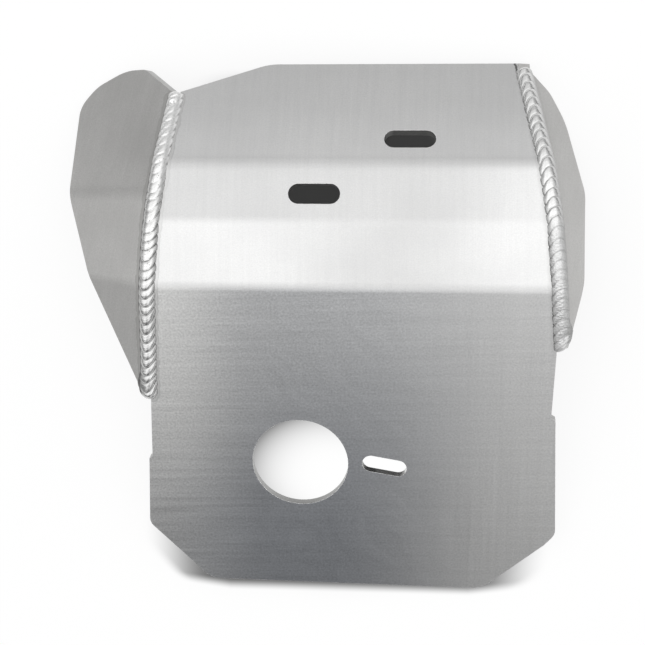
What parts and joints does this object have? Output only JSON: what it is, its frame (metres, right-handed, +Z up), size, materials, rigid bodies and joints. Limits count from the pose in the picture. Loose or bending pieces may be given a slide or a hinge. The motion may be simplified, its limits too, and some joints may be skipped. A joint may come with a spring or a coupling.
{
  "type": "motorcycle skid plate",
  "caption": "Folded aluminium guard for the underside of an engine, with bent side wings welded on, a round drain opening and strap slots.",
  "frame": {"origin": "centre of the bounding box, on the ground that the plate rests on", "axes": "+Z up from the ground with the hollow side down, +Y towards the front edge, +X to the right seen from above"},
  "size_m": [0.3072, 0.3166, 0.0818],
  "materials": {
    "brushed_sheet": "brushed",
    "wing_sheet": "satin",
    "weld": "satin"
  },
  "bodies": {
    "root": {"main_plate": "brushed_sheet", "left_wing": "wing_sheet", "right_wing": "wing_sheet", "left_weld_bead": "weld", "right_weld_bead": "weld"}
  },
  "joints": []
}
